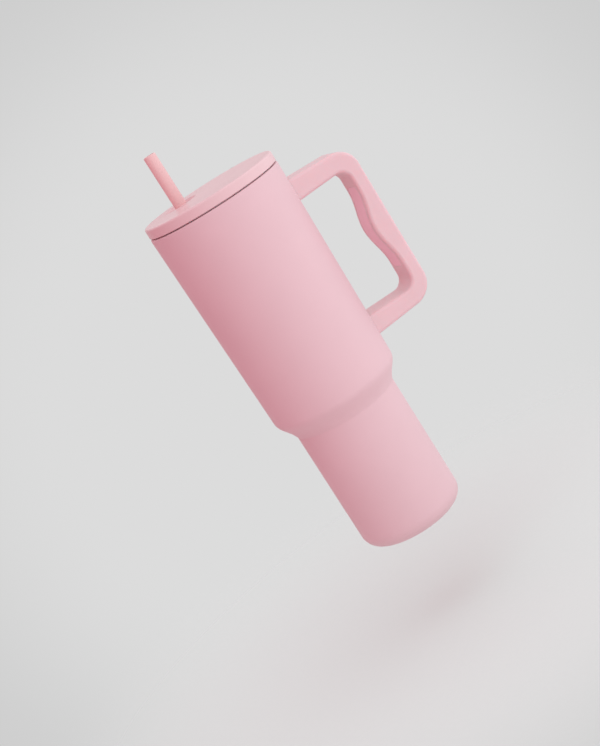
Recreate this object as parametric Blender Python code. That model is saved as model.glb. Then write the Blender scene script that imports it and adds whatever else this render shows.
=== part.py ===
"""Insulated tumbler with a press-in lid, a straight straw and a fixed side handle.

Metres, +Z up. The origin is the centre of the base, on the cup's axis, and the handle points to +X.
The cup is a vacuum vessel: a coated outer shell and a bare liner that nearly meet at the lip.
"""

import math

import bmesh
import bpy
from mathutils import Vector

# Round pieces are turned about +Z with this many facets, all in phase, so that walls stay parallel.
TURNS = 48
GAP = 0.0003  # between pieces that touch

# Cup, outside
RIM_Z = 0.2671
RIM_RADIUS = 0.0502
WAIST_Z = 0.1150
WAIST_RADIUS = 0.0476
FOOT_TOP_Z = 0.0975
FOOT_RADIUS = 0.0387
FOOT_ROUND = 0.0113
SHELL_BOTTOM_Z = 0.0004
SHELL_WALL = 0.0008
VACUUM_GAP = 0.0032
LINER_WALL = 0.0008
LIP_SEAM_RADIUS = 0.0475
LINER_FLOOR_Z = 0.0080
LINER_FLOOR_ROUND = 0.0080

# Underside of the cup
BOTTOM_OPENING_RADIUS = 0.0260
BOTTOM_PLATE_Z = 0.0026
BOTTOM_PLATE_WALL = 0.0008
PORT_RADIUS = 0.0012
BEAD_RADIUS = 0.0022
PAD_THICKNESS = 0.0012
GETTER_RADIUS = 0.0040
GETTER_HEIGHT = 0.0024
GETTER_X = 0.0120

# Lid
LID_RADIUS = 0.0500
LID_TOP_Z = 0.27525
LID_SKIRT_Z = 0.2680
LID_EDGE_ROUND = 0.0015
LID_TOP_WALL = 0.0030
LID_SKIRT_WALL = 0.0014
PLUG_WALL = 0.0018
PLUG_BOTTOM_Z = 0.2530
PLUG_CLEARANCE = 0.0010
GROOVE_LOW_Z = 0.2565
GROOVE_HIGH_Z = 0.2625
GROOVE_DEPTH = 0.0014
DISH_RADIUS = 0.0125
DISH_DEPTH = 0.0022
DISH_FLOOR_RADIUS = 0.0095

# Straw, standing in the dish's middle
STRAW_X = -0.0171
STRAW_Y = 0.0182
STRAW_RADIUS = 0.0045
STRAW_WALL = 0.0008
STRAW_TOP_Z = 0.3145
STRAW_BOTTOM_Z = LINER_FLOOR_Z + 0.0030
GROMMET_WALL = 0.0016
GROMMET_FLANGE = 0.0016

# Handle, in the XZ plane
HANDLE_REACH = 0.0972
HANDLE_WIDTH = 0.0280
HANDLE_EDGE_ROUND = 0.0026
HANDLE_ROOT_X = 0.0400
GRIP_LEAN = 0.0009  # the grip's lower end stands this much closer to the cup
HANDLE_OUTER = (
    (HANDLE_ROOT_X, 0.2523),
    (HANDLE_REACH, 0.2495),
    (HANDLE_REACH - GRIP_LEAN, 0.1312),
    (HANDLE_ROOT_X, 0.1282),
)
HANDLE_OUTER_ROUNDS = (0.0150, 0.0170)
GRIP_FACE_X = 0.0868
GRIP_TOP_Z = 0.2367
GRIP_LOW_Z = 0.1425
HANDLE_INNER = (
    (HANDLE_ROOT_X, 0.2353),
    (GRIP_FACE_X, GRIP_TOP_Z),
    (GRIP_FACE_X - GRIP_LEAN, GRIP_LOW_Z),
    (HANDLE_ROOT_X, 0.1435),
)
HANDLE_INNER_ROUNDS = (0.0080, 0.0085)
BULGE_HEIGHT = 0.0047
BULGE_Z = 0.1900
BULGE_HALF_LENGTH = 0.0285
INSERT_LOW_Z = 0.1580
INSERT_HIGH_Z = 0.2220
INSERT_WIDTH = 0.0180
INSERT_THICKNESS = 0.0024
CORE_DEPTH = 0.0030  # hollow behind the insert

# Handle fixings, one set in each arm: the arm's underside at the screw, then the stack above it
SCREW_X = 0.0620
ARM_UNDERSIDE_Z = {"upper": 0.23566, "lower": 0.12945}
COUNTERBORE_RADIUS = 0.0040
COUNTERBORE_DEPTH = 0.0038
SCREW_HOLE_RADIUS = 0.0023
SCREW_RADIUS = 0.0020
SCREW_LENGTH = 0.0066
HEAD_RADIUS = 0.0035
HEAD_HEIGHT = 0.0020
POCKET_ABOVE_UNDERSIDE = 0.0052
POCKET_HEIGHT = 0.0064
POCKET_END_X = 0.0720
POCKET_WIDTH = 0.0180
TONGUE_THICKNESS = 0.0020
BRACKET_WIDTH = 0.0160
BRACKET_END_X = 0.0690
BRACKET_FOOT = 0.0030

PINK = (0.80, 0.47, 0.52)
MATERIALS = {
    "powder_coat": (PINK, 0.55, 0.0),
    "moulded_pink": (PINK, 0.42, 0.0),
    "straw_pink": ((0.82, 0.42, 0.44), 0.35, 0.0),
    "silicone": ((0.78, 0.50, 0.54), 0.60, 0.0),
    "steel": ((0.62, 0.60, 0.58), 0.28, 1.0),
    "glass": ((0.55, 0.60, 0.62), 0.20, 0.0),
    "getter": ((0.30, 0.30, 0.32), 0.70, 1.0),
}


def make_materials():
    made = {}
    for name, (colour, roughness, metallic) in MATERIALS.items():
        material = bpy.data.materials.new(name)
        material.use_nodes = True
        shader = material.node_tree.nodes["Principled BSDF"]
        shader.inputs["Base Color"].default_value = (*colour, 1.0)
        shader.inputs["Roughness"].default_value = roughness
        shader.inputs["Metallic"].default_value = metallic
        made[name] = material
    return made


def add_object(name, mesh_source, material):
    """Puts a bmesh into the scene as an object with outward faces and one material, and frees the bmesh."""
    bmesh.ops.recalc_face_normals(mesh_source, faces=mesh_source.faces)
    mesh = bpy.data.meshes.new(name)
    mesh_source.to_mesh(mesh)
    mesh_source.free()
    mesh.materials.append(material)
    mesh.shade_smooth()
    mesh.set_sharp_from_angle(angle=math.radians(35))
    made = bpy.data.objects.new(name, mesh)
    bpy.context.scene.collection.objects.link(made)
    return made


def as_cutter(made):
    made.hide_render = True
    made.display_type = "WIRE"
    return made


def boolean(target, other, operation="DIFFERENCE"):
    modifier = target.modifiers.new(operation.title() + "_" + other.name, "BOOLEAN")
    modifier.operation = operation
    modifier.object = other
    modifier.solver = "EXACT"


def turned(name, outline, material, centre=(0.0, 0.0), turns=TURNS):
    """A solid of revolution about a vertical axis, from a closed outline of (radius, z) points."""
    shape = bmesh.new()
    points = [shape.verts.new((radius, 0.0, z)) for radius, z in outline]
    edges = [shape.edges.new(pair) for pair in zip(points, points[1:] + points[:1])]
    on_axis = [edge for edge in edges if all(abs(end.co.x) < 1e-9 for end in edge.verts)]
    for edge in on_axis:
        shape.edges.remove(edge)
    bmesh.ops.spin(
        shape,
        geom=list(shape.verts) + list(shape.edges),
        axis=(0.0, 0.0, 1.0),
        cent=(0.0, 0.0, 0.0),
        steps=turns,
        angle=math.tau,
        use_merge=True,
    )
    bmesh.ops.remove_doubles(shape, verts=shape.verts, dist=1e-6)
    made = add_object(name, shape, material)
    made.location = (centre[0], centre[1], 0.0)
    return made


def lofted(name, rings, material):
    """A closed solid through a row of equal-sized rings of points."""
    shape = bmesh.new()
    rows = [[shape.verts.new(point) for point in ring] for ring in rings]
    for row, following in zip(rows, rows[1:]):
        for i in range(len(row)):
            j = (i + 1) % len(row)
            shape.faces.new((row[i], row[j], following[j], following[i]))
    shape.faces.new(reversed(rows[0]))
    shape.faces.new(rows[-1])
    return add_object(name, shape, material)


def block(name, low, high, material):
    corners = [(x, y) for x, y in ((low[0], low[1]), (high[0], low[1]), (high[0], high[1]), (low[0], high[1]))]
    return lofted(name, [[(x, y, z) for x, y in corners] for z in (low[2], high[2])], material)


def disc_outline(radius, low_z, high_z):
    return [(0.0, low_z), (radius, low_z), (radius, high_z), (0.0, high_z)]


def ring_outline(inner, outer, low_z, high_z):
    return [(inner, low_z), (outer, low_z), (outer, high_z), (inner, high_z)]


def arc(centre, radius, start_deg, end_deg, steps):
    """Points on a circle, as (radius, z) or (x, z) pairs, ends included."""
    angles = [math.radians(start_deg + (end_deg - start_deg) * i / steps) for i in range(steps + 1)]
    return [(centre[0] + radius * math.cos(a), centre[1] + radius * math.sin(a)) for a in angles]


def shoulder(inset, steps):
    """The S-shaped step from the wide cup to its foot, moved in from the outside by inset."""
    ends = (
        (WAIST_RADIUS, WAIST_Z),
        (WAIST_RADIUS, WAIST_Z - 0.0062),
        (FOOT_RADIUS + 0.0034, FOOT_TOP_Z + 0.0091),
        (FOOT_RADIUS, FOOT_TOP_Z),
    )
    start, lean_out, lean_in, end = (Vector((r - inset, z - 0.4 * inset)) for r, z in ends)
    made = []
    for i in range(steps + 1):
        t = i / steps
        s = 1.0 - t
        point = s**3 * start + 3 * s * s * t * lean_out + 3 * s * t * t * lean_in + t**3 * end
        made.append(tuple(point))
    return made


def wall_down(inset, floor_z, floor_round, rim_z):
    """One wall face from the rim down to the floor's flat, inset from the outside."""
    foot_radius = FOOT_RADIUS - inset
    corner = (foot_radius - floor_round, floor_z + floor_round)
    return [(RIM_RADIUS - inset, rim_z), *shoulder(inset, 7), *arc(corner, floor_round, 0, -90, 5)]


def make_outer_shell(materials):
    lip_round = SHELL_WALL + 0.0004
    outside = wall_down(0.0, SHELL_BOTTOM_Z, FOOT_ROUND, RIM_Z)[1:]
    inside = wall_down(SHELL_WALL, SHELL_BOTTOM_Z + SHELL_WALL, FOOT_ROUND - SHELL_WALL, RIM_Z)[1:]
    lip = [(LIP_SEAM_RADIUS + GAP, RIM_Z), *arc((RIM_RADIUS - lip_round, RIM_Z - lip_round), lip_round, 90, 0, 3)]
    under_lip = [(RIM_RADIUS - SHELL_WALL, RIM_Z - lip_round), (RIM_RADIUS - SHELL_WALL - 0.0004, RIM_Z - SHELL_WALL)]
    under_lip.append((LIP_SEAM_RADIUS + GAP, RIM_Z - SHELL_WALL))
    foot = [(BOTTOM_OPENING_RADIUS, SHELL_BOTTOM_Z), (BOTTOM_OPENING_RADIUS, SHELL_BOTTOM_Z + SHELL_WALL)]
    turned("outer_shell", lip + outside + foot + inside[::-1] + under_lip, materials["powder_coat"])


def liner_inset():
    return SHELL_WALL + VACUUM_GAP + LINER_WALL


def make_inner_liner(materials):
    inside = wall_down(liner_inset(), LINER_FLOOR_Z, LINER_FLOOR_ROUND, RIM_Z)
    back = wall_down(
        liner_inset() - LINER_WALL, LINER_FLOOR_Z - LINER_WALL, LINER_FLOOR_ROUND + LINER_WALL, RIM_Z - LINER_WALL
    )
    lip = [(LIP_SEAM_RADIUS, RIM_Z - LINER_WALL), (LIP_SEAM_RADIUS, RIM_Z)]
    floor = [(0.0, LINER_FLOOR_Z), (0.0, LINER_FLOOR_Z - LINER_WALL)]
    turned("inner_liner", inside + floor + back[::-1] + lip, materials["steel"])


def make_underside(materials):
    plate_top = BOTTOM_PLATE_Z + BOTTOM_PLATE_WALL
    plate_radius = BOTTOM_OPENING_RADIUS - GAP
    rim_inner = plate_radius - BOTTOM_PLATE_WALL
    plate = [
        (PORT_RADIUS, plate_top),
        (plate_radius, plate_top),
        (plate_radius, SHELL_BOTTOM_Z + GAP),
        (rim_inner, SHELL_BOTTOM_Z + GAP),
        (rim_inner, BOTTOM_PLATE_Z),
        (PORT_RADIUS, BOTTOM_PLATE_Z),
    ]
    turned("outer_bottom", plate, materials["steel"])
    bead_top = BOTTOM_PLATE_Z - GAP
    stub_radius = PORT_RADIUS - GAP
    bead = [(0.0, plate_top), (stub_radius, plate_top), (stub_radius, bead_top), (BEAD_RADIUS, bead_top)]
    bead += [(BEAD_RADIUS, bead_top - 0.0003), (BEAD_RADIUS * 0.6, PAD_THICKNESS + GAP), (0.0, PAD_THICKNESS + GAP)]
    turned("port_seal_bead", bead, materials["glass"], turns=16)
    turned("base_pad", disc_outline(rim_inner - GAP, 0.0, PAD_THICKNESS), materials["silicone"])
    getter_z = plate_top + GAP
    getter = disc_outline(GETTER_RADIUS, getter_z, getter_z + GETTER_HEIGHT)
    turned("vacuum_getter", getter, materials["getter"], (GETTER_X, 0.0), 16)


def mouth_radius():
    """Inside radius of the liner at the rim."""
    return RIM_RADIUS - liner_inset()


def make_lid(materials):
    straw = (STRAW_X, STRAW_Y)
    grommet_radius = STRAW_RADIUS + GAP + GROMMET_WALL
    under_top = LID_TOP_Z - LID_TOP_WALL
    skirt_inner = LID_RADIUS - LID_SKIRT_WALL
    edge = arc((LID_RADIUS - LID_EDGE_ROUND, LID_TOP_Z - LID_EDGE_ROUND), LID_EDGE_ROUND, 90, 0, 4)
    cap = [(0.0, LID_TOP_Z), *edge, (LID_RADIUS, LID_SKIRT_Z), (skirt_inner, LID_SKIRT_Z)]
    cap += [(skirt_inner, under_top), (0.0, under_top)]
    lid_top = turned("lid_top", cap, materials["moulded_pink"])
    boss_low = under_top - 0.0040
    boss_shape = disc_outline(DISH_RADIUS + 0.0015, boss_low, under_top + 0.0010)
    boss = as_cutter(turned("dish_boss", boss_shape, materials["moulded_pink"], straw, 40))
    boolean(lid_top, boss, "UNION")
    dish_floor = LID_TOP_Z - DISH_DEPTH
    bowl = [
        (0.0, LID_TOP_Z + 0.0010),
        (DISH_RADIUS, LID_TOP_Z + 0.0010),
        (DISH_RADIUS, LID_TOP_Z),
        (DISH_FLOOR_RADIUS, dish_floor),
        (0.0, dish_floor),
    ]
    dish = as_cutter(turned("dish_cutter", bowl, materials["moulded_pink"], straw, 40))
    boolean(lid_top, dish)
    hole = disc_outline(grommet_radius + GAP, boss_low - 0.0010, LID_TOP_Z + 0.0010)
    boolean(lid_top, as_cutter(turned("grommet_hole", hole, materials["moulded_pink"], straw, 24)))

    seat = LID_TOP_Z - DISH_DEPTH + 0.0002
    grommet = [
        (STRAW_RADIUS + GAP, seat),
        (grommet_radius, seat),
        (grommet_radius, boss_low - GAP),
        (grommet_radius + GROMMET_FLANGE, boss_low - GAP),
        (grommet_radius + GROMMET_FLANGE, boss_low - GAP - 0.0012),
        (STRAW_RADIUS + GAP, boss_low - GAP - 0.0012),
    ]
    turned("straw_grommet", grommet, materials["silicone"], straw, 24)

    wall_radius = mouth_radius() - PLUG_CLEARANCE
    flange_radius = skirt_inner - GAP
    flange_low = RIM_Z + GAP
    flange_top = under_top - GAP
    plug = [
        (flange_radius, flange_top),
        (flange_radius, flange_low),
        (wall_radius, flange_low),
        (wall_radius, GROOVE_HIGH_Z),
        (wall_radius - GROOVE_DEPTH, GROOVE_HIGH_Z),
        (wall_radius - GROOVE_DEPTH, GROOVE_LOW_Z),
        (wall_radius, GROOVE_LOW_Z),
        *arc((wall_radius - 0.0015, PLUG_BOTTOM_Z + 0.0015), 0.0015, 0, -90, 3),
        (0.0, PLUG_BOTTOM_Z),
        (0.0, PLUG_BOTTOM_Z + PLUG_WALL),
        (wall_radius - GROOVE_DEPTH - PLUG_WALL, PLUG_BOTTOM_Z + PLUG_WALL),
        (wall_radius - GROOVE_DEPTH - PLUG_WALL, flange_top),
    ]
    lid_plug = turned("lid_plug", plug, materials["moulded_pink"])
    way_through = disc_outline(STRAW_RADIUS + 0.0015, PLUG_BOTTOM_Z - 0.0010, PLUG_BOTTOM_Z + PLUG_WALL + 0.0010)
    boolean(lid_plug, as_cutter(turned("plug_hole", way_through, materials["moulded_pink"], straw, 24)))

    seal_inner = wall_radius - GROOVE_DEPTH + GAP
    seal_outer = mouth_radius() - GAP
    low, high = GROOVE_LOW_Z + GAP, GROOVE_HIGH_Z - GAP
    lip = (high - low) / 4
    gasket = [(seal_inner, low), (seal_outer - lip / 2, low), (seal_outer, low + lip / 2), (seal_outer, low + lip)]
    gasket += [(seal_outer - lip / 2, low + 1.5 * lip), (seal_outer - lip / 2, high - 1.5 * lip)]
    gasket += [(seal_outer, high - lip), (seal_outer, high - lip / 2), (seal_outer - lip / 2, high)]
    gasket += [(seal_inner, high)]
    turned("lid_gasket", gasket, materials["silicone"])


def make_straw(materials):
    tube = ring_outline(STRAW_RADIUS - STRAW_WALL, STRAW_RADIUS, STRAW_BOTTOM_Z, STRAW_TOP_Z)
    turned("straw", tube, materials["straw_pink"], (STRAW_X, STRAW_Y), 24)


def filleted(corners, radii, steps, straight_steps):
    """Points along a four-point line whose two middle corners are rounded, evenly spread on the middle stretch."""
    points = [Vector(corner) for corner in corners]
    arcs = []
    for before, corner, after, radius in zip(points, points[1:], points[2:], radii):
        to_before = (before - corner).normalized()
        to_after = (after - corner).normalized()
        half = math.acos(to_before.dot(to_after)) / 2
        centre = corner + (to_before + to_after).normalized() * (radius / math.sin(half))
        first = corner + to_before * (radius / math.tan(half)) - centre
        last = corner + to_after * (radius / math.tan(half)) - centre
        sweep = -math.acos(max(-1.0, min(1.0, first.dot(last) / radius**2)))
        turn = [
            (first.x * math.cos(a) - first.y * math.sin(a), first.x * math.sin(a) + first.y * math.cos(a))
            for a in (sweep * i / steps for i in range(steps + 1))
        ]
        arcs.append([centre + Vector(offset) for offset in turn])
    start, end = arcs[0][-1], arcs[1][0]
    middle = [start.lerp(end, i / straight_steps) for i in range(1, straight_steps)]
    return [points[0], *arcs[0], *middle, *arcs[1], points[-1]]


def bulge(z):
    """How far the finger bulge stands towards the cup at this height."""
    away = abs(z - BULGE_Z) / BULGE_HALF_LENGTH
    return 0.0 if away >= 1.0 else BULGE_HEIGHT * (1 + math.cos(math.pi * away)) / 2


def section(inner, outer, width, edge_round, steps=3):
    """A rounded rectangle across the handle, from an inner to an outer (x, z) point."""
    along = outer - inner
    depth = along.length
    along = along.normalized()
    round_off = min(edge_round, 0.48 * depth)
    half_depth, half_width = depth / 2 - round_off, width / 2 - round_off
    middle = (inner + outer) / 2
    ring = []
    for corner, (side_x, side_y) in enumerate(((1, 1), (-1, 1), (-1, -1), (1, -1))):
        for x, y in arc((side_x * half_depth, side_y * half_width), round_off, 90 * corner, 90 * corner + 90, steps):
            place = middle + along * x
            ring.append((place.x, y, place.y))
    return ring


def body_clearance(materials):
    """The cup's tapered outside and a small gap, which the handle's pieces are cut back to."""
    low, high = 0.1160, RIM_Z
    slope = (RIM_RADIUS - WAIST_RADIUS) / (RIM_Z - WAIST_Z)
    bottom = WAIST_RADIUS + slope * (low - WAIST_Z) + GAP
    outline = [(0.0, low), (bottom, low), (RIM_RADIUS + GAP, high), (0.0, high)]
    return as_cutter(turned("body_clearance", outline, materials["steel"]))


def grip_face(z):
    """The grip's face towards the cup at this height."""
    down = (GRIP_TOP_Z - z) / (GRIP_TOP_Z - GRIP_LOW_Z)
    return GRIP_FACE_X - GRIP_LEAN * down - bulge(z)


def insert_rows(clearance, proud, thickness, width):
    """Rings up the grip's inner face, for the insert or for the pocket that it sits in."""
    low, high = INSERT_LOW_Z - clearance, INSERT_HIGH_Z + clearance
    half = width / 2 + clearance
    rows = []
    for i in range(13):
        z = low + (high - low) * i / 12
        face = grip_face(z)
        front, back = face - proud, face + thickness
        rows.append([(front, -half, z), (back, -half, z), (back, half, z), (front, half, z)])
    return rows


def make_handle(materials):
    cutter = body_clearance(materials)
    outer = filleted(HANDLE_OUTER, HANDLE_OUTER_ROUNDS, 6, 12)
    inner = filleted(HANDLE_INNER, HANDLE_INNER_ROUNDS, 6, 12)
    inner = [Vector((p.x - bulge(p.y), p.y)) if p.x > SCREW_X else p for p in inner]
    rings = [section(i, o, HANDLE_WIDTH, HANDLE_EDGE_ROUND) for i, o in zip(inner, outer)]
    frame = lofted("handle_frame", rings, materials["moulded_pink"])
    boolean(frame, cutter)
    lofted("handle_grip_insert", insert_rows(0.0, 0.0, INSERT_THICKNESS, INSERT_WIDTH), materials["moulded_pink"])
    recess = lofted(
        "insert_recess", insert_rows(GAP, 0.0040, INSERT_THICKNESS + GAP, INSERT_WIDTH), materials["moulded_pink"]
    )
    boolean(frame, as_cutter(recess))
    hollow_rows = insert_rows(-0.0040, -0.0010, INSERT_THICKNESS + CORE_DEPTH, INSERT_WIDTH - 0.0030)
    boolean(frame, as_cutter(lofted("grip_hollow", hollow_rows, materials["moulded_pink"])))
    for arm, underside in ARM_UNDERSIDE_Z.items():
        make_fixing(arm, underside, frame, cutter, materials)


def make_fixing(arm, underside, frame, body, materials):
    """The bracket on the cup, the screw from below and the plug that hides it, in one arm."""
    at = (SCREW_X, 0.0)
    pink = materials["moulded_pink"]
    pocket_low = underside + POCKET_ABOVE_UNDERSIDE
    pocket_high = pocket_low + POCKET_HEIGHT
    half = POCKET_WIDTH / 2
    pocket = block(arm + "_pocket", (HANDLE_ROOT_X, -half, pocket_low), (POCKET_END_X, half, pocket_high), pink)
    boolean(frame, as_cutter(pocket))
    head_seat = underside + COUNTERBORE_DEPTH
    counterbore = turned(
        arm + "_counterbore", disc_outline(COUNTERBORE_RADIUS, underside - 0.0020, head_seat), pink, at, 24
    )
    boolean(frame, as_cutter(counterbore))
    shank_hole = disc_outline(SCREW_HOLE_RADIUS, head_seat - 0.0005, pocket_low + 0.0010)
    boolean(frame, as_cutter(turned(arm + "_shank_hole", shank_hole, pink, at, 24)))

    low = pocket_low + GAP
    high = pocket_high - GAP
    side = BRACKET_WIDTH / 2
    tongue_top = low + TONGUE_THICKNESS
    foot_x = RIM_RADIUS + BRACKET_FOOT
    outline = [(HANDLE_ROOT_X, low), (BRACKET_END_X, low), (BRACKET_END_X, tongue_top), (foot_x, tongue_top)]
    outline += [(foot_x, high), (HANDLE_ROOT_X, high)]
    rings = [[(x, y, z) for x, z in outline] for y in (-side, side)]
    bracket = lofted("handle_bracket_" + arm, rings, materials["steel"])
    boolean(bracket, body)
    clearance_hole = disc_outline(SCREW_HOLE_RADIUS, low - 0.0010, tongue_top + 0.0010)
    boolean(bracket, as_cutter(turned(arm + "_bracket_hole", clearance_hole, materials["steel"], at, 24)))

    head_top = head_seat - GAP
    head_low = head_top - HEAD_HEIGHT
    tip = head_top + SCREW_LENGTH
    screw = [(0.0, head_low), (HEAD_RADIUS, head_low), (HEAD_RADIUS, head_top), (SCREW_RADIUS, head_top)]
    screw += [(SCREW_RADIUS, tip - 0.0008), (SCREW_RADIUS * 0.6, tip), (0.0, tip)]
    turned("handle_screw_" + arm, screw, materials["steel"], at, 24)
    plug = disc_outline(COUNTERBORE_RADIUS - GAP, underside + 0.0001, head_low - GAP)
    turned("screw_plug_" + arm, plug, materials["silicone"], at, 24)


def main():
    for old in list(bpy.data.objects):
        bpy.data.objects.remove(old)
    materials = make_materials()
    make_outer_shell(materials)
    make_inner_liner(materials)
    make_underside(materials)
    make_lid(materials)
    make_straw(materials)
    make_handle(materials)


main()
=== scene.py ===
"""Looks for the insulated tumbler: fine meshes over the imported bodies, materials, and a studio.

Metres, +Z up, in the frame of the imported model: the cup's axis is Z and the handle points to +X.
"""

import math

import bmesh
import bpy
from mathutils import Matrix, Vector


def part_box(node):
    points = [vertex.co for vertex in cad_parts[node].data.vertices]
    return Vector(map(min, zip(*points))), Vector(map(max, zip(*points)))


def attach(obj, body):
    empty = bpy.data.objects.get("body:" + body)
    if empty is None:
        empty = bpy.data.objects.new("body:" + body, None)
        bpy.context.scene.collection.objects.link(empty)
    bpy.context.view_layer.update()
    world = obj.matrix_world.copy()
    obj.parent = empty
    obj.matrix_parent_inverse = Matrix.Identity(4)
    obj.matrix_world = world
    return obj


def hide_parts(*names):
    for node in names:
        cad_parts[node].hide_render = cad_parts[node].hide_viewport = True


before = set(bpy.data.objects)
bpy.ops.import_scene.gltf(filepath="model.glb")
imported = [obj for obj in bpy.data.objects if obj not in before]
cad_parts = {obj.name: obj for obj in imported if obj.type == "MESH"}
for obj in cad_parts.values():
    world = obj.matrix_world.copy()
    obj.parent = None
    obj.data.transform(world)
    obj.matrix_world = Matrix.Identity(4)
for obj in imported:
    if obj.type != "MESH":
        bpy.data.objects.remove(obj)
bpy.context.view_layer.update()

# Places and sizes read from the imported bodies
SHELL_LOW, SHELL_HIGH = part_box("outer_shell")
LINER_LOW, LINER_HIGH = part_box("inner_liner")
PAD_LOW, PAD_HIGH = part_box("base_pad")
LID_LOW, LID_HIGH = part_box("lid_top")
PLUG_LOW, PLUG_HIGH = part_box("lid_plug")
SEAL_LOW, SEAL_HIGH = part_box("lid_gasket")
GROMMET_LOW, GROMMET_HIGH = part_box("straw_grommet")
STRAW_LOW, STRAW_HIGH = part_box("straw")
HANDLE_LOW, HANDLE_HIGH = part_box("handle_frame")
INSERT_LOW, INSERT_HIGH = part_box("handle_grip_insert")

RIM_RADIUS = SHELL_HIGH.y
RIM_Z = SHELL_HIGH.z
LID_RADIUS = LID_HIGH.y
LID_TOP_Z = LID_HIGH.z
STRAW_AT = ((STRAW_LOW.x + STRAW_HIGH.x) / 2, (STRAW_LOW.y + STRAW_HIGH.y) / 2)
STRAW_RADIUS = (STRAW_HIGH.x - STRAW_LOW.x) / 2

# Cup
WAIST_Z = 0.1150
WAIST_RADIUS = 0.0476
FOOT_TOP_Z = 0.0975
FOOT_RADIUS = 0.0387
FOOT_ROUND = 0.0113
SHOULDER_LEAD_IN = 0.0062  # the curve's upper handle, straight down from the waist
SHOULDER_LEAD_OUT = (0.0034, 0.0091)  # its lower handle, out and up from the foot's top
SHOULDER_DROP = 0.4  # how much lower the inner faces' step is, per metre of inset
SHELL_WALL = 0.0008
LIP_ROUND = SHELL_WALL + 0.0004
LINER_INSET = 0.0048
LINER_WALL = 0.0008
LINER_FLOOR_ROUND = 0.0080
LINER_MOUTH_ROUND = 0.0005
LIP_SEAM_RADIUS = LINER_HIGH.y
SEAM = 0.0001
BOTTOM_OPENING_RADIUS = 0.0260
PAD_ROUND = 0.0005

# Lid
LID_EDGE_ROUND = 0.0015
LID_WALL = 0.0014
LID_TOP_WALL = 0.0030
LID_FLAT_RADIUS = 0.040  # any radius on the lid's flat top, between the dish and the edge
LID_SKIRT_LIFT = 0.0001
LID_SKIRT_ROUND = 0.0003
DISH_RADIUS = 0.0125
DISH_DEPTH = 0.0022
DISH_FLOOR_RADIUS = 0.0095
DISH_LIP_ROUND = 0.0006
DISH_FLOOR_ROUND = 0.0030
DISH_SURROUND = 0.003
BOSS_RADIUS = 0.0140
BOSS_HEIGHT = 0.0040
PLUG_WALL_RADIUS = 0.0444
PLUG_WALL = 0.0018
PLUG_EDGE_ROUND = 0.0015
PLUG_UNDERSIDE_RADIUS = 0.030  # any radius on the plug's flat underside
PLUG_HOLE_PLAY = 0.0015
PLUG_HOLE_ROUND = 0.0004
GROOVE_DEPTH = 0.0014
FIT_PLAY = 0.0003  # between the plug, its seal and the cup's rim
SHARP_ROUND = 0.0002
SEAL_LIPS = 3
SEAL_LIP_DEPTH = 0.0006

# Straw
STRAW_WALL = 0.0008
STRAW_MOUTH_ROUNDS = (0.00015, 0.00060)  # inside and outside its top end
STRAW_END_ROUND = 0.00035
GROMMET_RADIUS = STRAW_RADIUS + 0.0019
GROMMET_FLANGE = 0.0012
GROMMET_ROUND = 0.0003
GROMMET_PLAY = 0.00015

# Handle
HANDLE_REACH = 0.0972
HANDLE_WIDTH = HANDLE_HIGH.y - HANDLE_LOW.y
HANDLE_EDGE_ROUND = 0.0026
HANDLE_BITE = 0.0004  # how far the arms' ends reach into the cup's wall
HANDLE_ROOT_X = 0.0400
HANDLE_CLEARANCE = 0.001  # the first section across an arm is this far outside the rim
GRIP_LEAN = 0.0009  # the grip's lower end stands this much closer to the cup
HANDLE_OUTER = (
    (HANDLE_ROOT_X, 0.2523),
    (HANDLE_REACH, 0.2495),
    (HANDLE_REACH - GRIP_LEAN, 0.1312),
    (HANDLE_ROOT_X, 0.1282),
)
HANDLE_OUTER_ROUNDS = (0.0150, 0.0170)
GRIP_FACE_X = 0.0868
GRIP_TOP_Z = 0.2367
GRIP_LOW_Z = 0.1425
HANDLE_INNER = (
    (HANDLE_ROOT_X, 0.2353),
    (GRIP_FACE_X, GRIP_TOP_Z),
    (GRIP_FACE_X - GRIP_LEAN, GRIP_LOW_Z),
    (HANDLE_ROOT_X, 0.1435),
)
HANDLE_INNER_ROUNDS = (0.0080, 0.0085)
BULGE_HEIGHT = 0.0047
BULGE_Z = 0.1900
BULGE_HALF_LENGTH = 0.0285
INSERT_THICKNESS = 0.0024
INSERT_CORNER = 0.0045
RECESS_FRONT = -0.003  # the recess's cutter starts this far in front of the grip's face
SCREW_X = 0.0620
ARM_UNDERSIDE_Z = {"upper": 0.23566, "lower": 0.12945}
COUNTERBORE_RADIUS = 0.0040
COUNTERBORE_DEPTH = 0.0030
COUNTERBORE_START = 0.002  # its cutter starts this far under the arm
SCREW_PLUG_ROUND = 0.0004

# Facets round a turned piece, and steps along curves
FINE = 256
MEDIUM = 96
SHOULDER_STEPS = 28
FLOOR_ROUND_STEPS = 20
HANDLE_BEND_STEPS = 20
HANDLE_ARM_STEPS = 6
HANDLE_GRIP_STEPS = 24
SECTION_STEPS = 8
INSERT_STEPS = 48
INSERT_CORNER_STEPS = 8
HALVINGS = 30

# Tolerances
ON_AXIS = 1e-7
NO_LENGTH = 1e-9
SHARP_ANGLE = math.radians(40)
FLAT_FACE_WEIGHT = 80

# Camera
CAMERA_TURN = math.radians(12.5)
CAMERA_DISTANCE = 1.1187
CAMERA_HEIGHT = 0.3742
CAMERA_YAW = -0.0120
CAMERA_PITCH = 0.2107
CAMERA_ROLL = -0.5681
CAMERA_LENS = 80.1
CAMERA_SENSOR = 36.0
CAMERA_CLIP = (0.05, 50.0)

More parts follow.
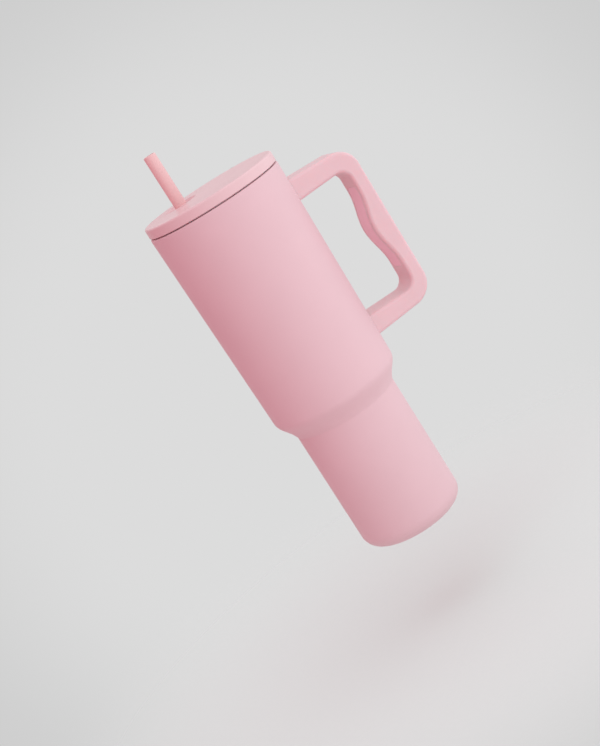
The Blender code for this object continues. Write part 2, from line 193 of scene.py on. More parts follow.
# Light and backdrop. Facing values are cosines: 1 straight towards a side, -1 straight away.
KEY_SIDE = (0.75, -0.60, 0.50)
LIGHT_STOPS = (
    (0.0, (0.47, 0.205, 0.25)),
    (0.40, (0.57, 0.33, 0.37)),
    (0.72, (0.87, 0.92, 0.94)),
    (1.0, (0.94, 1.0, 1.01)),
)
LIGHT_STRENGTH = 1.25
WALL_SIDE = (0.20, 0.97, 0.20)
WALL_FACING = (0.55, 0.95)
BACKDROP = 0.716
BACKDROP_EDGE = 0.620
BACKDROP_MIDDLE = (0.200, 0.957, -0.209)
BACKDROP_FACING = (0.9588, 0.9903)
FLOOR_TONE = (0.775, 0.80, 0.78)
FLOOR_DROP = 0.062
FLOOR_RADIUS = 0.45
FLOOR_FADE = (0.12, 0.42)
FLOOR_FACETS = 128


# ---------- mesh building ----------


def add_object(name, shape, material):
    """Puts a bmesh into the scene as an object with one material, and frees the bmesh."""
    bmesh.ops.recalc_face_normals(shape, faces=shape.faces)
    mesh = bpy.data.meshes.new(name)
    shape.to_mesh(mesh)
    shape.free()
    mesh.materials.append(material)
    made = bpy.data.objects.new(name, mesh)
    bpy.context.scene.collection.objects.link(made)
    return made


def smooth(made):
    """Shades an object smooth, keeping its sharp edges sharp and its flat faces flat."""
    made.data.shade_smooth()
    made.data.set_sharp_from_angle(angle=SHARP_ANGLE)
    flat = made.modifiers.new("flat_faces", "WEIGHTED_NORMAL")
    flat.keep_sharp = True
    flat.weight = FLAT_FACE_WEIGHT
    return made


def turned(name, loops, material, facets=FINE, closed=True):
    """A body through (radius, z, centre) circles. Those of no radius close it on the axis."""
    shape = bmesh.new()
    turns = [math.tau * i / facets for i in range(facets)]
    rows = []
    for radius, z, (x, y) in loops:
        if radius < ON_AXIS:
            points = [(x, y, z)]
        else:
            points = [(x + radius * math.cos(a), y + radius * math.sin(a), z) for a in turns]
        rows.append([shape.verts.new(point) for point in points])
    following = rows[1:] + rows[:1] if closed else rows[1:]
    for row, after in zip(rows, following):
        for i in range(facets):
            j = (i + 1) % facets
            lower = [row[i % len(row)], row[j % len(row)]]
            upper = [after[j % len(after)], after[i % len(after)]]
            corners = list(dict.fromkeys(lower + upper))
            if len(corners) > 2:
                shape.faces.new(corners)
    return smooth(add_object(name, shape, material))


def arc(centre, radius, start_deg, end_deg, steps):
    """Points on a circle as pairs, ends included."""
    sweep = end_deg - start_deg
    angles = [math.radians(start_deg + sweep * i / steps) for i in range(steps + 1)]
    return [(centre[0] + radius * math.cos(a), centre[1] + radius * math.sin(a)) for a in angles]


def rounded(corners, steps=5):
    """Turns (radius, z, rounding) corners into (radius, z) points, rounding them with arcs."""
    points = []
    count = len(corners)
    for i, (r, z, rounding) in enumerate(corners):
        here = Vector((r, z))
        before = Vector(corners[i - 1][:2]) - here
        after = Vector(corners[(i + 1) % count][:2]) - here
        if rounding <= 0.0 or before.length < NO_LENGTH or after.length < NO_LENGTH:
            points.append((r, z))
            continue
        before.normalize()
        after.normalize()
        half = before.angle(after) / 2
        reach = rounding / math.tan(half)
        centre = here + (before + after).normalized() * (rounding / math.sin(half))
        first = here + before * reach - centre
        sweep = (here + after * reach - centre).angle_signed(first)
        for step in range(steps + 1):
            turn = Matrix.Rotation(sweep * step / steps, 2)
            points.append(tuple(centre + turn @ first))
    return points


def loops_of(points, centre=(0.0, 0.0)):
    """(radius, z) points as circles round one centre."""
    return [(r, z, centre) for r, z in points]


def lofted(name, rings, material):
    """A closed body through a row of rings with the same number of points, capped at both ends."""
    shape = bmesh.new()
    rows = [[shape.verts.new(point) for point in ring] for ring in rings]
    for row, following in zip(rows, rows[1:]):
        for i in range(len(row)):
            j = (i + 1) % len(row)
            shape.faces.new((row[i], row[j], following[j], following[i]))
    caps = [shape.faces.new(reversed(rows[0])), shape.faces.new(rows[-1])]
    bmesh.ops.triangulate(shape, faces=caps)
    return add_object(name, shape, material)


def cut(target, cutter):
    """Takes the cutter's space out of the target for good, and removes the cutter."""
    modifier = target.modifiers.new("cut", "BOOLEAN")
    modifier.object = cutter
    modifier.solver = "EXACT"
    bpy.context.view_layer.update()
    evaluated = target.evaluated_get(bpy.context.evaluated_depsgraph_get())
    mesh = bpy.data.meshes.new_from_object(evaluated)
    target.modifiers.remove(modifier)
    target.data = mesh
    bpy.data.objects.remove(cutter)


# ---------- materials ----------

NOISE_MIDDLE = (0.3, 0.7)
SUBSURFACE_REACH = 0.004
PINK = (0.80, 0.50, 0.54)


def new_material(name, colour, roughness, metallic=0.0):
    """A Principled material, with its tree, its shader and the object coordinates to build on."""
    material = bpy.data.materials.new(name)
    material.use_nodes = True
    tree = material.node_tree
    shader = tree.nodes["Principled BSDF"]
    shader.inputs["Base Color"].default_value = (*colour, 1.0)
    shader.inputs["Roughness"].default_value = roughness
    shader.inputs["Metallic"].default_value = metallic
    place = tree.nodes.new("ShaderNodeTexCoord")
    return material, tree, shader, place.outputs["Object"]


def noise(tree, place, scale, detail):
    """Cloudy noise round 0.5. The scale is in cells per metre."""
    texture = tree.nodes.new("ShaderNodeTexNoise")
    texture.inputs["Scale"].default_value = scale
    texture.inputs["Detail"].default_value = detail
    tree.links.new(place, texture.inputs["Vector"])
    return texture.outputs["Fac"]


def spread(tree, value, low, high):
    """Maps the middle of a noise onto low to high."""
    ranged = tree.nodes.new("ShaderNodeMapRange")
    ranged.inputs["From Min"].default_value = NOISE_MIDDLE[0]
    ranged.inputs["From Max"].default_value = NOISE_MIDDLE[1]
    ranged.inputs["To Min"].default_value = low
    ranged.inputs["To Max"].default_value = high
    tree.links.new(value, ranged.inputs["Value"])
    return ranged.outputs["Result"]


def tint(tree, shader, value, dark, light):
    """Colours the shader from dark to light over the middle of a noise."""
    ramp = tree.nodes.new("ShaderNodeValToRGB")
    for stop, position, colour in zip(ramp.color_ramp.elements, NOISE_MIDDLE, (dark, light)):
        stop.position = position
        stop.color = (*colour, 1.0)
    tree.links.new(value, ramp.inputs["Fac"])
    tree.links.new(ramp.outputs["Color"], shader.inputs["Base Color"])


def bumps(tree, shader, layers):
    """Chains bumps of (height, distance in metres) and feeds the shader's normal."""
    normal = None
    for height, distance in layers:
        bump = tree.nodes.new("ShaderNodeBump")
        bump.inputs["Strength"].default_value = 1.0
        bump.inputs["Distance"].default_value = distance
        tree.links.new(height, bump.inputs["Height"])
        if normal:
            tree.links.new(normal, bump.inputs["Normal"])
        normal = bump.outputs["Normal"]
    tree.links.new(normal, shader.inputs["Normal"])


def shade(colour, factor):
    """A colour made lighter or darker."""
    return tuple(min(1.0, channel * factor) for channel in colour)


def powder_coat(name, colour):
    """Baked powder: a fine sand-like grain over a soft orange peel, with a dry sheen."""
    material, tree, shader, place = new_material(name, colour, 0.55)
    grain = noise(tree, place, scale=2600.0, detail=1.0)
    peel = noise(tree, place, scale=420.0, detail=2.0)
    patch = noise(tree, place, scale=26.0, detail=3.0)
    tint(tree, shader, patch, shade(colour, 0.985), shade(colour, 1.01))
    tree.links.new(spread(tree, grain, 0.50, 0.62), shader.inputs["Roughness"])
    bumps(tree, shader, [(peel, 0.00004), (grain, 0.00003)])
    shader.inputs["Specular IOR Level"].default_value = 0.5
    shader.inputs["Sheen Weight"].default_value = 0.15
    shader.inputs["Sheen Roughness"].default_value = 0.4
    return material


def moulded(name, colour, roughness, depth, grain_height=0.000018):
    """Satin injection-moulded plastic with a fine grain. Depth is its share of subsurface light."""
    material, tree, shader, place = new_material(name, colour, roughness)
    grain = noise(tree, place, scale=3400.0, detail=1.0)
    flow = noise(tree, place, scale=60.0, detail=2.0)
    tint(tree, shader, flow, shade(colour, 0.985), shade(colour, 1.01))
    satin = spread(tree, grain, roughness - 0.04, roughness + 0.06)
    tree.links.new(satin, shader.inputs["Roughness"])
    bumps(tree, shader, [(grain, grain_height)])
    shader.inputs["Subsurface Weight"].default_value = depth
    shader.inputs["Subsurface Radius"].default_value = (1.0, 0.15, 0.18)
    shader.inputs["Subsurface Scale"].default_value = SUBSURFACE_REACH
    return material


def silicone(name, colour):
    """Soft matte rubber with a fine bloom and a little depth."""
    material, tree, shader, place = new_material(name, colour, 0.62)
    bloom = noise(tree, place, scale=900.0, detail=3.0)
    tint(tree, shader, bloom, shade(colour, 0.95), shade(colour, 1.03))
    tree.links.new(spread(tree, bloom, 0.55, 0.70), shader.inputs["Roughness"])
    bumps(tree, shader, [(bloom, 0.00002)])
    shader.inputs["Subsurface Weight"].default_value = 0.2
    shader.inputs["Subsurface Radius"].default_value = (1.0, 0.4, 0.35)
    shader.inputs["Subsurface Scale"].default_value = 0.002
    return material


def turned_steel(name, roughness):
    """Stainless steel with fine scratches that run round the axis."""
    material, tree, shader, place = new_material(name, (0.60, 0.585, 0.57), roughness, 1.0)
    split = tree.nodes.new("ShaderNodeSeparateXYZ")
    tree.links.new(place, split.inputs["Vector"])
    square = [tree.nodes.new("ShaderNodeMath") for _ in range(2)]
    for node, axis in zip(square, "XY"):
        node.operation = "MULTIPLY"
        tree.links.new(split.outputs[axis], node.inputs[0])
        tree.links.new(split.outputs[axis], node.inputs[1])
    total = tree.nodes.new("ShaderNodeMath")
    tree.links.new(square[0].outputs[0], total.inputs[0])
    tree.links.new(square[1].outputs[0], total.inputs[1])
    root = tree.nodes.new("ShaderNodeMath")
    root.operation = "SQRT"
    tree.links.new(total.outputs[0], root.inputs[0])
    lane = tree.nodes.new("ShaderNodeCombineXYZ")
    tree.links.new(root.outputs[0], lane.inputs["X"])
    tree.links.new(split.outputs["Z"], lane.inputs["Z"])
    lines = noise(tree, lane.outputs["Vector"], scale=5200.0, detail=3.0)
    stain = noise(tree, place, scale=40.0, detail=3.0)
    tint(tree, shader, stain, (0.57, 0.555, 0.54), (0.63, 0.615, 0.60))
    brushed = spread(tree, lines, roughness - 0.08, roughness + 0.10)
    tree.links.new(brushed, shader.inputs["Roughness"])
    bumps(tree, shader, [(lines, 0.000012)])
    return material


def fused_glass(name):
    """Grey sealing glass with tiny seeds in it."""
    material, tree, shader, place = new_material(name, (0.50, 0.56, 0.58), 0.15)
    seeds = noise(tree, place, scale=1500.0, detail=2.0)
    tint(tree, shader, seeds, (0.42, 0.48, 0.50), (0.58, 0.64, 0.66))
    bumps(tree, shader, [(seeds, 0.00003)])
    return material


def sintered(name):
    """Dark pressed metal powder, full of pores."""
    material, tree, shader, place = new_material(name, (0.20, 0.20, 0.22), 0.7, 0.6)
    pores = noise(tree, place, scale=3000.0, detail=4.0)
    tint(tree, shader, pores, (0.12, 0.12, 0.13), (0.28, 0.28, 0.30))
    bumps(tree, shader, [(pores, 0.0001)])
    return material


MATERIALS = {
    "powder_coat": powder_coat("powder_coat", PINK),
    "moulded_pink": moulded("moulded_pink", PINK, 0.46, 0.35),
    "handle_pink": moulded("handle_pink", (0.82, 0.52, 0.55), 0.36, 0.15),
    # Painted bounce light: the grip pad's pink is the handle's pink made lighter, standing in for
    # the light that the cup throws onto the grip's shaded inner face.
    "grip_pink_painted_bounce": moulded("grip_pink_painted_bounce", (0.95, 0.57, 0.65), 0.42, 0.0),
    "lid_pink": moulded("lid_pink", (0.83, 0.53, 0.555), 0.34, 0.0),
    "straw_pink": moulded("straw_pink", (0.87, 0.52, 0.52), 0.32, 0.0, grain_height=0.000006),
    "silicone": silicone("silicone_pink", (0.78, 0.43, 0.47)),
    "steel": turned_steel("turned_steel", 0.26),
    "glass": fused_glass("fused_glass"),
    "getter": sintered("sintered_getter"),
}


# ---------- cup ----------


def shoulder(inset):
    """The S-shaped step from the wide cup to its foot, moved in from the outside by inset."""
    out, up = SHOULDER_LEAD_OUT
    controls = (
        (WAIST_RADIUS, WAIST_Z),
        (WAIST_RADIUS, WAIST_Z - SHOULDER_LEAD_IN),
        (FOOT_RADIUS + out, FOOT_TOP_Z + up),
        (FOOT_RADIUS, FOOT_TOP_Z),
    )
    a, b, c, d = (Vector((r - inset, z - SHOULDER_DROP * inset)) for r, z in controls)
    made = []
    for i in range(SHOULDER_STEPS + 1):
        t = i / SHOULDER_STEPS
        s = 1.0 - t
        made.append(tuple(s**3 * a + 3 * s * s * t * b + 3 * s * t * t * c + t**3 * d))
    return made


def wall_down(inset, floor_z, floor_round):
    """One face of the cup's wall from the shoulder's top down to the floor's flat."""
    corner = (FOOT_RADIUS - inset - floor_round, floor_z + floor_round)
    return [*shoulder(inset), *arc(corner, floor_round, 0, -90, FLOOR_ROUND_STEPS)]


def make_shell():
    """The coated outer wall, open under the foot, with the liner's edge standing inside its lip."""
    lip = LIP_ROUND
    seam_radius = LIP_SEAM_RADIUS + SEAM
    floor_z = SHELL_LOW.z + SHELL_WALL
    outside = wall_down(0.0, SHELL_LOW.z, FOOT_ROUND)
    inside = wall_down(SHELL_WALL, floor_z, FOOT_ROUND - SHELL_WALL)
    rim = [(seam_radius, RIM_Z), *arc((RIM_RADIUS - lip, RIM_Z - lip), lip, 90, 0, 8)]
    under = [
        (RIM_RADIUS - SHELL_WALL, RIM_Z - lip),
        (RIM_RADIUS - lip, RIM_Z - SHELL_WALL),
        (seam_radius, RIM_Z - SHELL_WALL),
    ]
    foot = [(BOTTOM_OPENING_RADIUS, SHELL_LOW.z), (BOTTOM_OPENING_RADIUS, floor_z)]
    points = rim + outside + foot + inside[::-1] + under
    shell = turned("shell_coated", loops_of(points), MATERIALS["powder_coat"])
    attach(shell, "cup")
    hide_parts("outer_shell")


def make_liner():
    """The steel inner wall, from the mouth's rounding down to the floor and back up its far face."""
    floor_z = LINER_LOW.z + LINER_WALL
    mouth_centre = (RIM_RADIUS - LINER_INSET + LINER_MOUTH_ROUND, RIM_Z - LINER_MOUTH_ROUND)
    mouth = arc(mouth_centre, LINER_MOUTH_ROUND, 90, 180, 5)
    inside = wall_down(LINER_INSET, floor_z, LINER_FLOOR_ROUND)
    back_inset = LINER_INSET - LINER_WALL
    back = [(RIM_RADIUS - back_inset, RIM_Z - LINER_WALL)]
    back += wall_down(back_inset, LINER_LOW.z, LINER_FLOOR_ROUND + LINER_WALL)
    lip = [(LIP_SEAM_RADIUS, RIM_Z - LINER_WALL), (LIP_SEAM_RADIUS, RIM_Z)]
    points = mouth + inside + [(0.0, floor_z), (0.0, LINER_LOW.z)] + back[::-1] + lip
    liner = turned("liner_steel", loops_of(points), MATERIALS["steel"])
    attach(liner, "cup")
    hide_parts("inner_liner")


def disc(low, high, edge_round):
    """The outline of a solid disc whose lower edge is rounded, for a box that it just fills."""
    radius = (high.x - low.x) / 2
    lower = [(radius, low.z, edge_round), (0.0, low.z, 0)]
    return rounded([(0.0, high.z, 0), (radius, high.z, 0), *lower])


def make_underside():
    """The pad under the foot."""
    outline = loops_of(disc(PAD_LOW, PAD_HIGH, PAD_ROUND))
    pad = turned("pad_silicone", outline, MATERIALS["silicone"], closed=False)
    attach(pad, "cup")
    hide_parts("base_pad")


# ---------- lid and straw ----------


def make_lid():
    """The disc and skirt, with the straw's dish in its top and the boss under that."""
    under_top = LID_TOP_Z - LID_TOP_WALL
    skirt_inner = LID_RADIUS - LID_WALL
    skirt_low = LID_LOW.z + LID_SKIRT_LIFT
    hole = GROMMET_RADIUS + SEAM
    dish_floor = LID_TOP_Z - DISH_DEPTH
    dish = rounded(
        [
            (hole, dish_floor, 0),
            (DISH_FLOOR_RADIUS, dish_floor, DISH_FLOOR_ROUND),
            (DISH_RADIUS, LID_TOP_Z, DISH_LIP_ROUND),
            (DISH_RADIUS + DISH_SURROUND, LID_TOP_Z, 0),
        ],
        8,
    )[:-1]
    outside = rounded(
        [
            (LID_FLAT_RADIUS, LID_TOP_Z, 0),
            (LID_RADIUS, LID_TOP_Z, LID_EDGE_ROUND),
            (LID_RADIUS, skirt_low, LID_SKIRT_ROUND),
            (skirt_inner, skirt_low, SHARP_ROUND),
            (skirt_inner, under_top, 0),
        ],
        7,
    )[1:]
    boss_low = under_top - BOSS_HEIGHT
    boss = [(BOSS_RADIUS, under_top), (BOSS_RADIUS, boss_low), (hole, boss_low)]
    loops = loops_of(dish, STRAW_AT) + loops_of(outside) + loops_of(boss, STRAW_AT)
    lid = turned("lid_cap", loops, MATERIALS["lid_pink"])
    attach(lid, "lid")
    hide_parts("lid_top")


def make_plug():
    """The hollow plug under the lid, with the seal's groove and the straw's hole."""
    wall = PLUG_WALL_RADIUS
    rim_clear = RIM_Z + FIT_PLAY
    groove_low, groove_high = SEAL_LOW.z - FIT_PLAY, SEAL_HIGH.z + FIT_PLAY
    back = wall - GROOVE_DEPTH
    inner = back - PLUG_WALL
    outside = rounded(
        [
            (inner, PLUG_HIGH.z, 0),
            (PLUG_HIGH.y, PLUG_HIGH.z, 0),
            (PLUG_HIGH.y, rim_clear, SHARP_ROUND),
            (wall, rim_clear, 0),
            (wall, groove_high, SHARP_ROUND),
            (back, groove_high, 0),
            (back, groove_low, 0),
            (wall, groove_low, SHARP_ROUND),
            (wall, PLUG_LOW.z, PLUG_EDGE_ROUND),
            (PLUG_UNDERSIDE_RADIUS, PLUG_LOW.z, 0),
        ],
        6,
    )[:-1]
    floor_z = PLUG_LOW.z + PLUG_WALL
    hole = STRAW_RADIUS + PLUG_HOLE_PLAY
    surround = (2 * hole, PLUG_LOW.z, 0)
    through = rounded([surround, (hole, PLUG_LOW.z, PLUG_HOLE_ROUND), (hole, floor_z, 0)])[1:]
    inside = [(inner, floor_z)]
    loops = loops_of(outside) + loops_of(through, STRAW_AT) + loops_of(inside)
    plug = turned("plug_moulded", loops, MATERIALS["moulded_pink"])
    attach(plug, "lid")
    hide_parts("lid_plug")


def make_gasket():
    """A ring with soft sealing lips."""
    inner, outer = PLUG_WALL_RADIUS - GROOVE_DEPTH + FIT_PLAY, SEAL_HIGH.y
    low, high = SEAL_LOW.z, SEAL_HIGH.z
    pitch = (high - low) / SEAL_LIPS
    valley = outer - SEAL_LIP_DEPTH
    corners = [(inner, high, SHARP_ROUND)]
    for i in range(SEAL_LIPS):
        top = high - i * pitch
        corners += [
            (valley, top, SHARP_ROUND / 2),
            (outer, top - 0.35 * pitch, SHARP_ROUND),
            (outer, top - 0.6 * pitch, SHARP_ROUND),
            (valley, top - 0.9 * pitch, SHARP_ROUND / 2),
        ]
    corners.append((inner, low, SHARP_ROUND))
    seal = turned("gasket_ring", loops_of(rounded(corners, 3)), MATERIALS["silicone"])
    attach(seal, "lid")
    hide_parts("lid_gasket")


def make_grommet():
    """The ring that the straw slides in, with a flange at its lower end."""
    low, high = GROMMET_LOW.z, GROMMET_HIGH.z
    bore = STRAW_RADIUS + GROMMET_PLAY
    flange = (GROMMET_HIGH.x - GROMMET_LOW.x) / 2
    corners = [
        (bore, high, GROMMET_ROUND),
        (GROMMET_RADIUS, high, GROMMET_ROUND),
        (GROMMET_RADIUS, low + GROMMET_FLANGE, 0),
        (flange, low + GROMMET_FLANGE, GROMMET_ROUND),
        (flange, low, GROMMET_ROUND),
        (bore, low, GROMMET_ROUND),
    ]
    outline = loops_of(rounded(corners), STRAW_AT)
    ring = turned("grommet_ring", outline, MATERIALS["silicone"], MEDIUM)
    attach(ring, "lid")
    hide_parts("straw_grommet")


def make_straw():
    """A plain tube whose mouth is softly rounded."""
    bore = STRAW_RADIUS - STRAW_WALL
    inner_round, outer_round = STRAW_MOUTH_ROUNDS
    corners = [
        (bore, STRAW_HIGH.z, inner_round),
        (STRAW_RADIUS, STRAW_HIGH.z, outer_round),
        (STRAW_RADIUS, STRAW_LOW.z, STRAW_END_ROUND),
        (bore, STRAW_LOW.z, STRAW_END_ROUND),
    ]
    outline = loops_of(rounded(corners, 6), STRAW_AT)
    tube = turned("straw_tube", outline, MATERIALS["straw_pink"], MEDIUM)
    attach(tube, "straw")
    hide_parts("straw")


# ---------- handle ----------


def filleted(corners, radii):
    """Points along a four-point line whose two middle corners are rounded."""
    steps = HANDLE_BEND_STEPS
    points = [Vector(corner) for corner in corners]
    arcs = []
    for before, corner, after, radius in zip(points, points[1:], points[2:], radii):
        to_before = (before - corner).normalized()
        to_after = (after - corner).normalized()
        half = math.acos(to_before.dot(to_after)) / 2
        centre = corner + (to_before + to_after).normalized() * (radius / math.sin(half))
        first = corner + to_before * (radius / math.tan(half)) - centre
        last = corner + to_after * (radius / math.tan(half)) - centre
        sweep = -math.acos(max(-1.0, min(1.0, first.dot(last) / radius**2)))
        bend = []
        for a in (sweep * i / steps for i in range(steps + 1)):
            x = first.x * math.cos(a) - first.y * math.sin(a)
            y = first.x * math.sin(a) + first.y * math.cos(a)
            bend.append(centre + Vector((x, y)))
        arcs.append(bend)
    stretches = (
        (points[0], arcs[0][0], HANDLE_ARM_STEPS),
        (arcs[0][-1], arcs[1][0], HANDLE_GRIP_STEPS),
        (arcs[1][-1], points[-1], HANDLE_ARM_STEPS),
    )
    upper, grip, lower = (
        [start.lerp(end, i / count) for i in range(count + 1)] for start, end, count in stretches
    )
    return [*upper[:-1], *arcs[0], *grip[1:-1], *arcs[1], *lower[1:]]


def bulge(z):
    """How far the finger bulge stands towards the cup at this height."""
    away = abs(z - BULGE_Z) / BULGE_HALF_LENGTH
    return 0.0 if away >= 1.0 else BULGE_HEIGHT * (1 + math.cos(math.pi * away)) / 2


def section(inner, outer):
    """A rounded rectangle across the handle, from an inner to an outer (x, z) point."""
    along = outer - inner
    depth = along.length
    along = along.normalized()
    round_off = HANDLE_EDGE_ROUND
    half_depth, half_width = depth / 2 - round_off, HANDLE_WIDTH / 2 - round_off
    middle = (inner + outer) / 2
    ring = []
    for quarter, (side_x, side_y) in enumerate(((1, 1), (-1, 1), (-1, -1), (1, -1))):
        centre = (side_x * half_depth, side_y * half_width)
        start = 90 * quarter
        for x, y in arc(centre, round_off, start, start + 90, SECTION_STEPS):
            place = middle + along * x
            ring.append(Vector((place.x, y, place.y)))
    return ring


def cup_radius(z):
    """The cup's outside above the shoulder."""
    return WAIST_RADIUS + (RIM_RADIUS - WAIST_RADIUS) * (z - WAIST_Z) / (RIM_Z - WAIST_Z)


def end_on_cup(ring, towards, off):
    """Moves a section's points towards the next section until they stand this far off the cup."""
    moved = []
    for point, after in zip(ring, towards):
        low, high = 0.0, 1.0
        for _ in range(HALVINGS):
            middle = (low + high) / 2
            here = point.lerp(after, middle)
            inside = math.hypot(here.x, here.y) < cup_radius(here.z) + off
            low, high = (middle, high) if inside else (low, middle)
        moved.append(point.lerp(after, high))
    return moved


def grip_face(z):
    """The grip's face towards the cup at this height."""
    down = (GRIP_TOP_Z - z) / (GRIP_TOP_Z - GRIP_LOW_Z)
    return GRIP_FACE_X - GRIP_LEAN * down - bulge(z)


def insert_section(z, half, front, back):
    """A row across the insert at one height, at two depths measured from the grip's face."""
    near, far = grip_face(z) + front, grip_face(z) + back
    return [(near, -half, z), (far, -half, z), (far, half, z), (near, half, z)]


def insert_rows(grow, front, back):
    """Rows up the insert, or its recess if it grows, narrowing round its corners."""
    low, high = INSERT_LOW.z - grow, INSERT_HIGH.z + grow
    half = (INSERT_HIGH.y - INSERT_LOW.y) / 2 + grow
    corner = INSERT_CORNER + grow
    straight = high - low - 2 * corner
    turns = [math.pi / 2 * i / INSERT_CORNER_STEPS for i in range(INSERT_CORNER_STEPS)]
    heights = [low + corner * (1 - math.cos(turn)) for turn in turns]
    heights += [low + corner + straight * i / INSERT_STEPS for i in range(INSERT_STEPS + 1)]
    heights += [high - corner * (1 - math.cos(turn)) for turn in reversed(turns)]
    rows = []
    for z in heights:
        past = max(low + corner - z, z - high + corner, 0.0)
        here = half - corner + math.sqrt(max(corner**2 - past**2, 0.0))
        rows.append(insert_section(z, here, front, back))
    return rows


def make_handle():
    """The D-shaped moulding on the cup, with its screw holes, and the soft insert in its grip."""
    pink = MATERIALS["handle_pink"]
    outer = filleted(HANDLE_OUTER, HANDLE_OUTER_ROUNDS)
    inner = filleted(HANDLE_INNER, HANDLE_INNER_ROUNDS)
    inner = [Vector((p.x - bulge(p.y), p.y)) if p.x > SCREW_X else p for p in inner]
    rings = [section(i, o) for i, o in zip(inner, outer)]
    clear_x = RIM_RADIUS + HANDLE_CLEARANCE
    off_cup = [ring for ring in rings if min(p.x for p in ring) > clear_x]
    steps_off = (-HANDLE_BITE, 0.0, HANDLE_BITE)
    upper_root = [end_on_cup(rings[0], off_cup[0], off) for off in steps_off]
    lower_root = [end_on_cup(rings[-1], off_cup[-1], off) for off in reversed(steps_off)]
    handle = lofted("handle_moulding", [*upper_root, *off_cup, *lower_root], pink)
    for underside in ARM_UNDERSIDE_Z.values():
        low, high = underside - COUNTERBORE_START, underside + COUNTERBORE_DEPTH
        outline = [(0.0, low), (COUNTERBORE_RADIUS, low), (COUNTERBORE_RADIUS, high), (0.0, high)]
        bore = turned("bore", loops_of(outline, (SCREW_X, 0.0)), pink, MEDIUM, closed=False)
        cut(handle, bore)
    cut(handle, lofted("recess", insert_rows(SEAM, RECESS_FRONT, INSERT_THICKNESS), pink))
    smooth(handle)
    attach(handle, "cup")
    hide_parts("handle_frame")
    rows = insert_rows(0.0, 0.0, INSERT_THICKNESS - SEAM)
    # The pad takes the lighter pink that paints in the cup's bounce light on the grip's inner face.
    insert = lofted("grip_pad", rows, MATERIALS["grip_pink_painted_bounce"])
    smooth(insert)
    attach(insert, "cup")
    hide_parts("handle_grip_insert")


def make_screw_plugs():
    """The discs that close the screw holes under the arms."""
    for arm in ARM_UNDERSIDE_Z:
        node = "screw_plug_" + arm
        low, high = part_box(node)
        centre = ((high.x + low.x) / 2, (high.y + low.y) / 2)
        outline = loops_of(disc(low, high, SCREW_PLUG_ROUND), centre)
        plug = turned("plug_" + arm, outline, MATERIALS["silicone"], MEDIUM, closed=False)
        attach(plug, "cup")
        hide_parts(node)


def finish_hidden_nodes():
    """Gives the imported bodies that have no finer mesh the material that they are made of."""
    kept = {
        "outer_bottom": "steel",
        "port_seal_bead": "glass",
        "vacuum_getter": "getter",
        "handle_bracket_upper": "steel",
        "handle_bracket_lower": "steel",
        "handle_screw_upper": "steel",
        "handle_screw_lower": "steel",
    }
    for node, material in kept.items():
        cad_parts[node].data.materials.clear()
        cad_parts[node].data.materials.append(MATERIALS[material])


# ---------- studio ----------


def make_camera():
    """The photograph's viewing angle, rolled because its cup lies tilted."""
    data = bpy.data.cameras.new("camera")
    data.lens = CAMERA_LENS
    data.sensor_width = CAMERA_SENSOR
    data.clip_start, data.clip_end = CAMERA_CLIP
    camera = bpy.data.objects.new("camera", data)
    heading = CAMERA_YAW + CAMERA_TURN
    flat = math.cos(CAMERA_PITCH)
    ahead = (math.sin(heading) * flat, math.cos(heading) * flat, -math.sin(CAMERA_PITCH))
    forward = Vector(ahead)
    right = forward.cross(Vector((0.0, 0.0, 1.0))).normalized()
    up = right.cross(forward)
    rolled_right = right * math.cos(CAMERA_ROLL) + up * math.sin(CAMERA_ROLL)
    rolled_up = up * math.cos(CAMERA_ROLL) - right * math.sin(CAMERA_ROLL)
    turn = Matrix((rolled_right, rolled_up, -forward)).transposed().to_4x4()
    away = Vector((-math.sin(CAMERA_TURN), -math.cos(CAMERA_TURN), 0.0)) * CAMERA_DISTANCE
    camera.matrix_world = Matrix.Translation(away + Vector((0.0, 0.0, CAMERA_HEIGHT))) @ turn
    bpy.context.scene.collection.objects.link(camera)
    bpy.context.scene.camera = camera


def facing(tree, direction, side):
    """How squarely a direction faces a side."""
    dot = tree.nodes.new("ShaderNodeVectorMath")
    dot.operation = "DOT_PRODUCT"
    dot.inputs[1].default_value = Vector(side).normalized()
    tree.links.new(direction, dot.inputs[0])
    return dot.outputs["Value"]


def eased(tree, value, start, end, low=0.0, high=1.0):
    """Rises smoothly from low to high while the value goes from start to end."""
    ranged = tree.nodes.new("ShaderNodeMapRange")
    ranged.interpolation_type = "SMOOTHSTEP"
    ranged.inputs["From Min"].default_value = start
    ranged.inputs["From Max"].default_value = end
    ranged.inputs["To Min"].default_value = low
    ranged.inputs["To Max"].default_value = high
    tree.links.new(value, ranged.inputs["Value"])
    return ranged.outputs["Result"]


def wrapped_light(tree, direction):
    """Soft light that is bright on the key side and dim and rosy on the far side."""
    centred = tree.nodes.new("ShaderNodeMapRange")
    centred.inputs["From Min"].default_value = -1.0
    tree.links.new(facing(tree, direction, KEY_SIDE), centred.inputs["Value"])
    ramp = tree.nodes.new("ShaderNodeValToRGB")
    ramp.color_ramp.interpolation = "EASE"
    stops = ramp.color_ramp.elements
    while len(stops) < len(LIGHT_STOPS):
        stops.new(0.5)
    for stop, (position, colour) in zip(stops, LIGHT_STOPS):
        stop.position = position
        stop.color = (*colour, 1.0)
    tree.links.new(centred.outputs["Result"], ramp.inputs["Fac"])
    strong = tree.nodes.new("ShaderNodeVectorMath")
    strong.operation = "SCALE"
    strong.inputs["Scale"].default_value = LIGHT_STRENGTH
    tree.links.new(ramp.outputs["Color"], strong.inputs[0])
    return strong.outputs["Vector"]


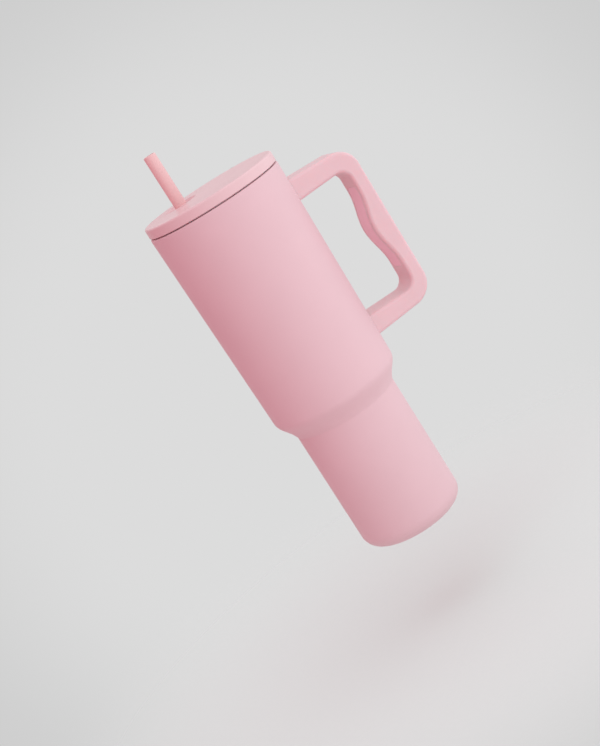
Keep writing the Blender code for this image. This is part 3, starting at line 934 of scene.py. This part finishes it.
def make_world():
    """Wrapped light and a pale wall light the object. The camera sees a softly shaded backdrop."""
    world = bpy.data.worlds.new("studio")
    world.use_nodes = True
    tree = world.node_tree
    direction = tree.nodes.new("ShaderNodeTexCoord").outputs["Generated"]

    lit = tree.nodes.new("ShaderNodeMix")
    lit.data_type = "RGBA"
    wall = eased(tree, facing(tree, direction, WALL_SIDE), *WALL_FACING)
    tree.links.new(wall, lit.inputs["Factor"])
    tree.links.new(wrapped_light(tree, direction), lit.inputs["A"])
    lit.inputs["B"].default_value = (BACKDROP, BACKDROP, BACKDROP, 1.0)

    mix = tree.nodes.new("ShaderNodeMix")
    mix.data_type = "RGBA"
    rays = tree.nodes.new("ShaderNodeLightPath")
    middle = facing(tree, direction, BACKDROP_MIDDLE)
    backdrop = eased(tree, middle, *BACKDROP_FACING, BACKDROP_EDGE, BACKDROP)
    tree.links.new(rays.outputs["Is Camera Ray"], mix.inputs["Factor"])
    tree.links.new(lit.outputs["Result"], mix.inputs["A"])
    tree.links.new(backdrop, mix.inputs["B"])
    tree.links.new(mix.outputs["Result"], tree.nodes["Background"].inputs["Color"])
    bpy.context.scene.world = world


def make_floor():
    """A pale disc that fades away towards its rim, so that the backdrop takes over."""
    shape = bmesh.new()
    bmesh.ops.create_circle(shape, cap_ends=True, radius=FLOOR_RADIUS, segments=FLOOR_FACETS)
    material, tree, shader, place = new_material("floor", FLOOR_TONE, 0.9)
    shader.inputs["Specular IOR Level"].default_value = 0.0
    speck = noise(tree, place, scale=300.0, detail=2.0)
    tint(tree, shader, speck, shade(FLOOR_TONE, 0.995), shade(FLOOR_TONE, 1.005))
    length = tree.nodes.new("ShaderNodeVectorMath")
    length.operation = "LENGTH"
    tree.links.new(place, length.inputs[0])
    clear = tree.nodes.new("ShaderNodeBsdfTransparent")
    mix = tree.nodes.new("ShaderNodeMixShader")
    tree.links.new(eased(tree, length.outputs["Value"], *FLOOR_FADE), mix.inputs["Fac"])
    tree.links.new(shader.outputs["BSDF"], mix.inputs[1])
    tree.links.new(clear.outputs["BSDF"], mix.inputs[2])
    tree.links.new(mix.outputs["Shader"], tree.nodes["Material Output"].inputs["Surface"])
    floor = add_object("floor", shape, material)
    floor.location.z = -FLOOR_DROP


make_camera()
make_shell()
make_liner()
make_underside()
make_lid()
make_plug()
make_gasket()
make_grommet()
make_straw()
make_handle()
make_screw_plugs()
finish_hidden_nodes()

bpy.context.scene.view_settings.view_transform = "Standard"
make_world()
make_floor()
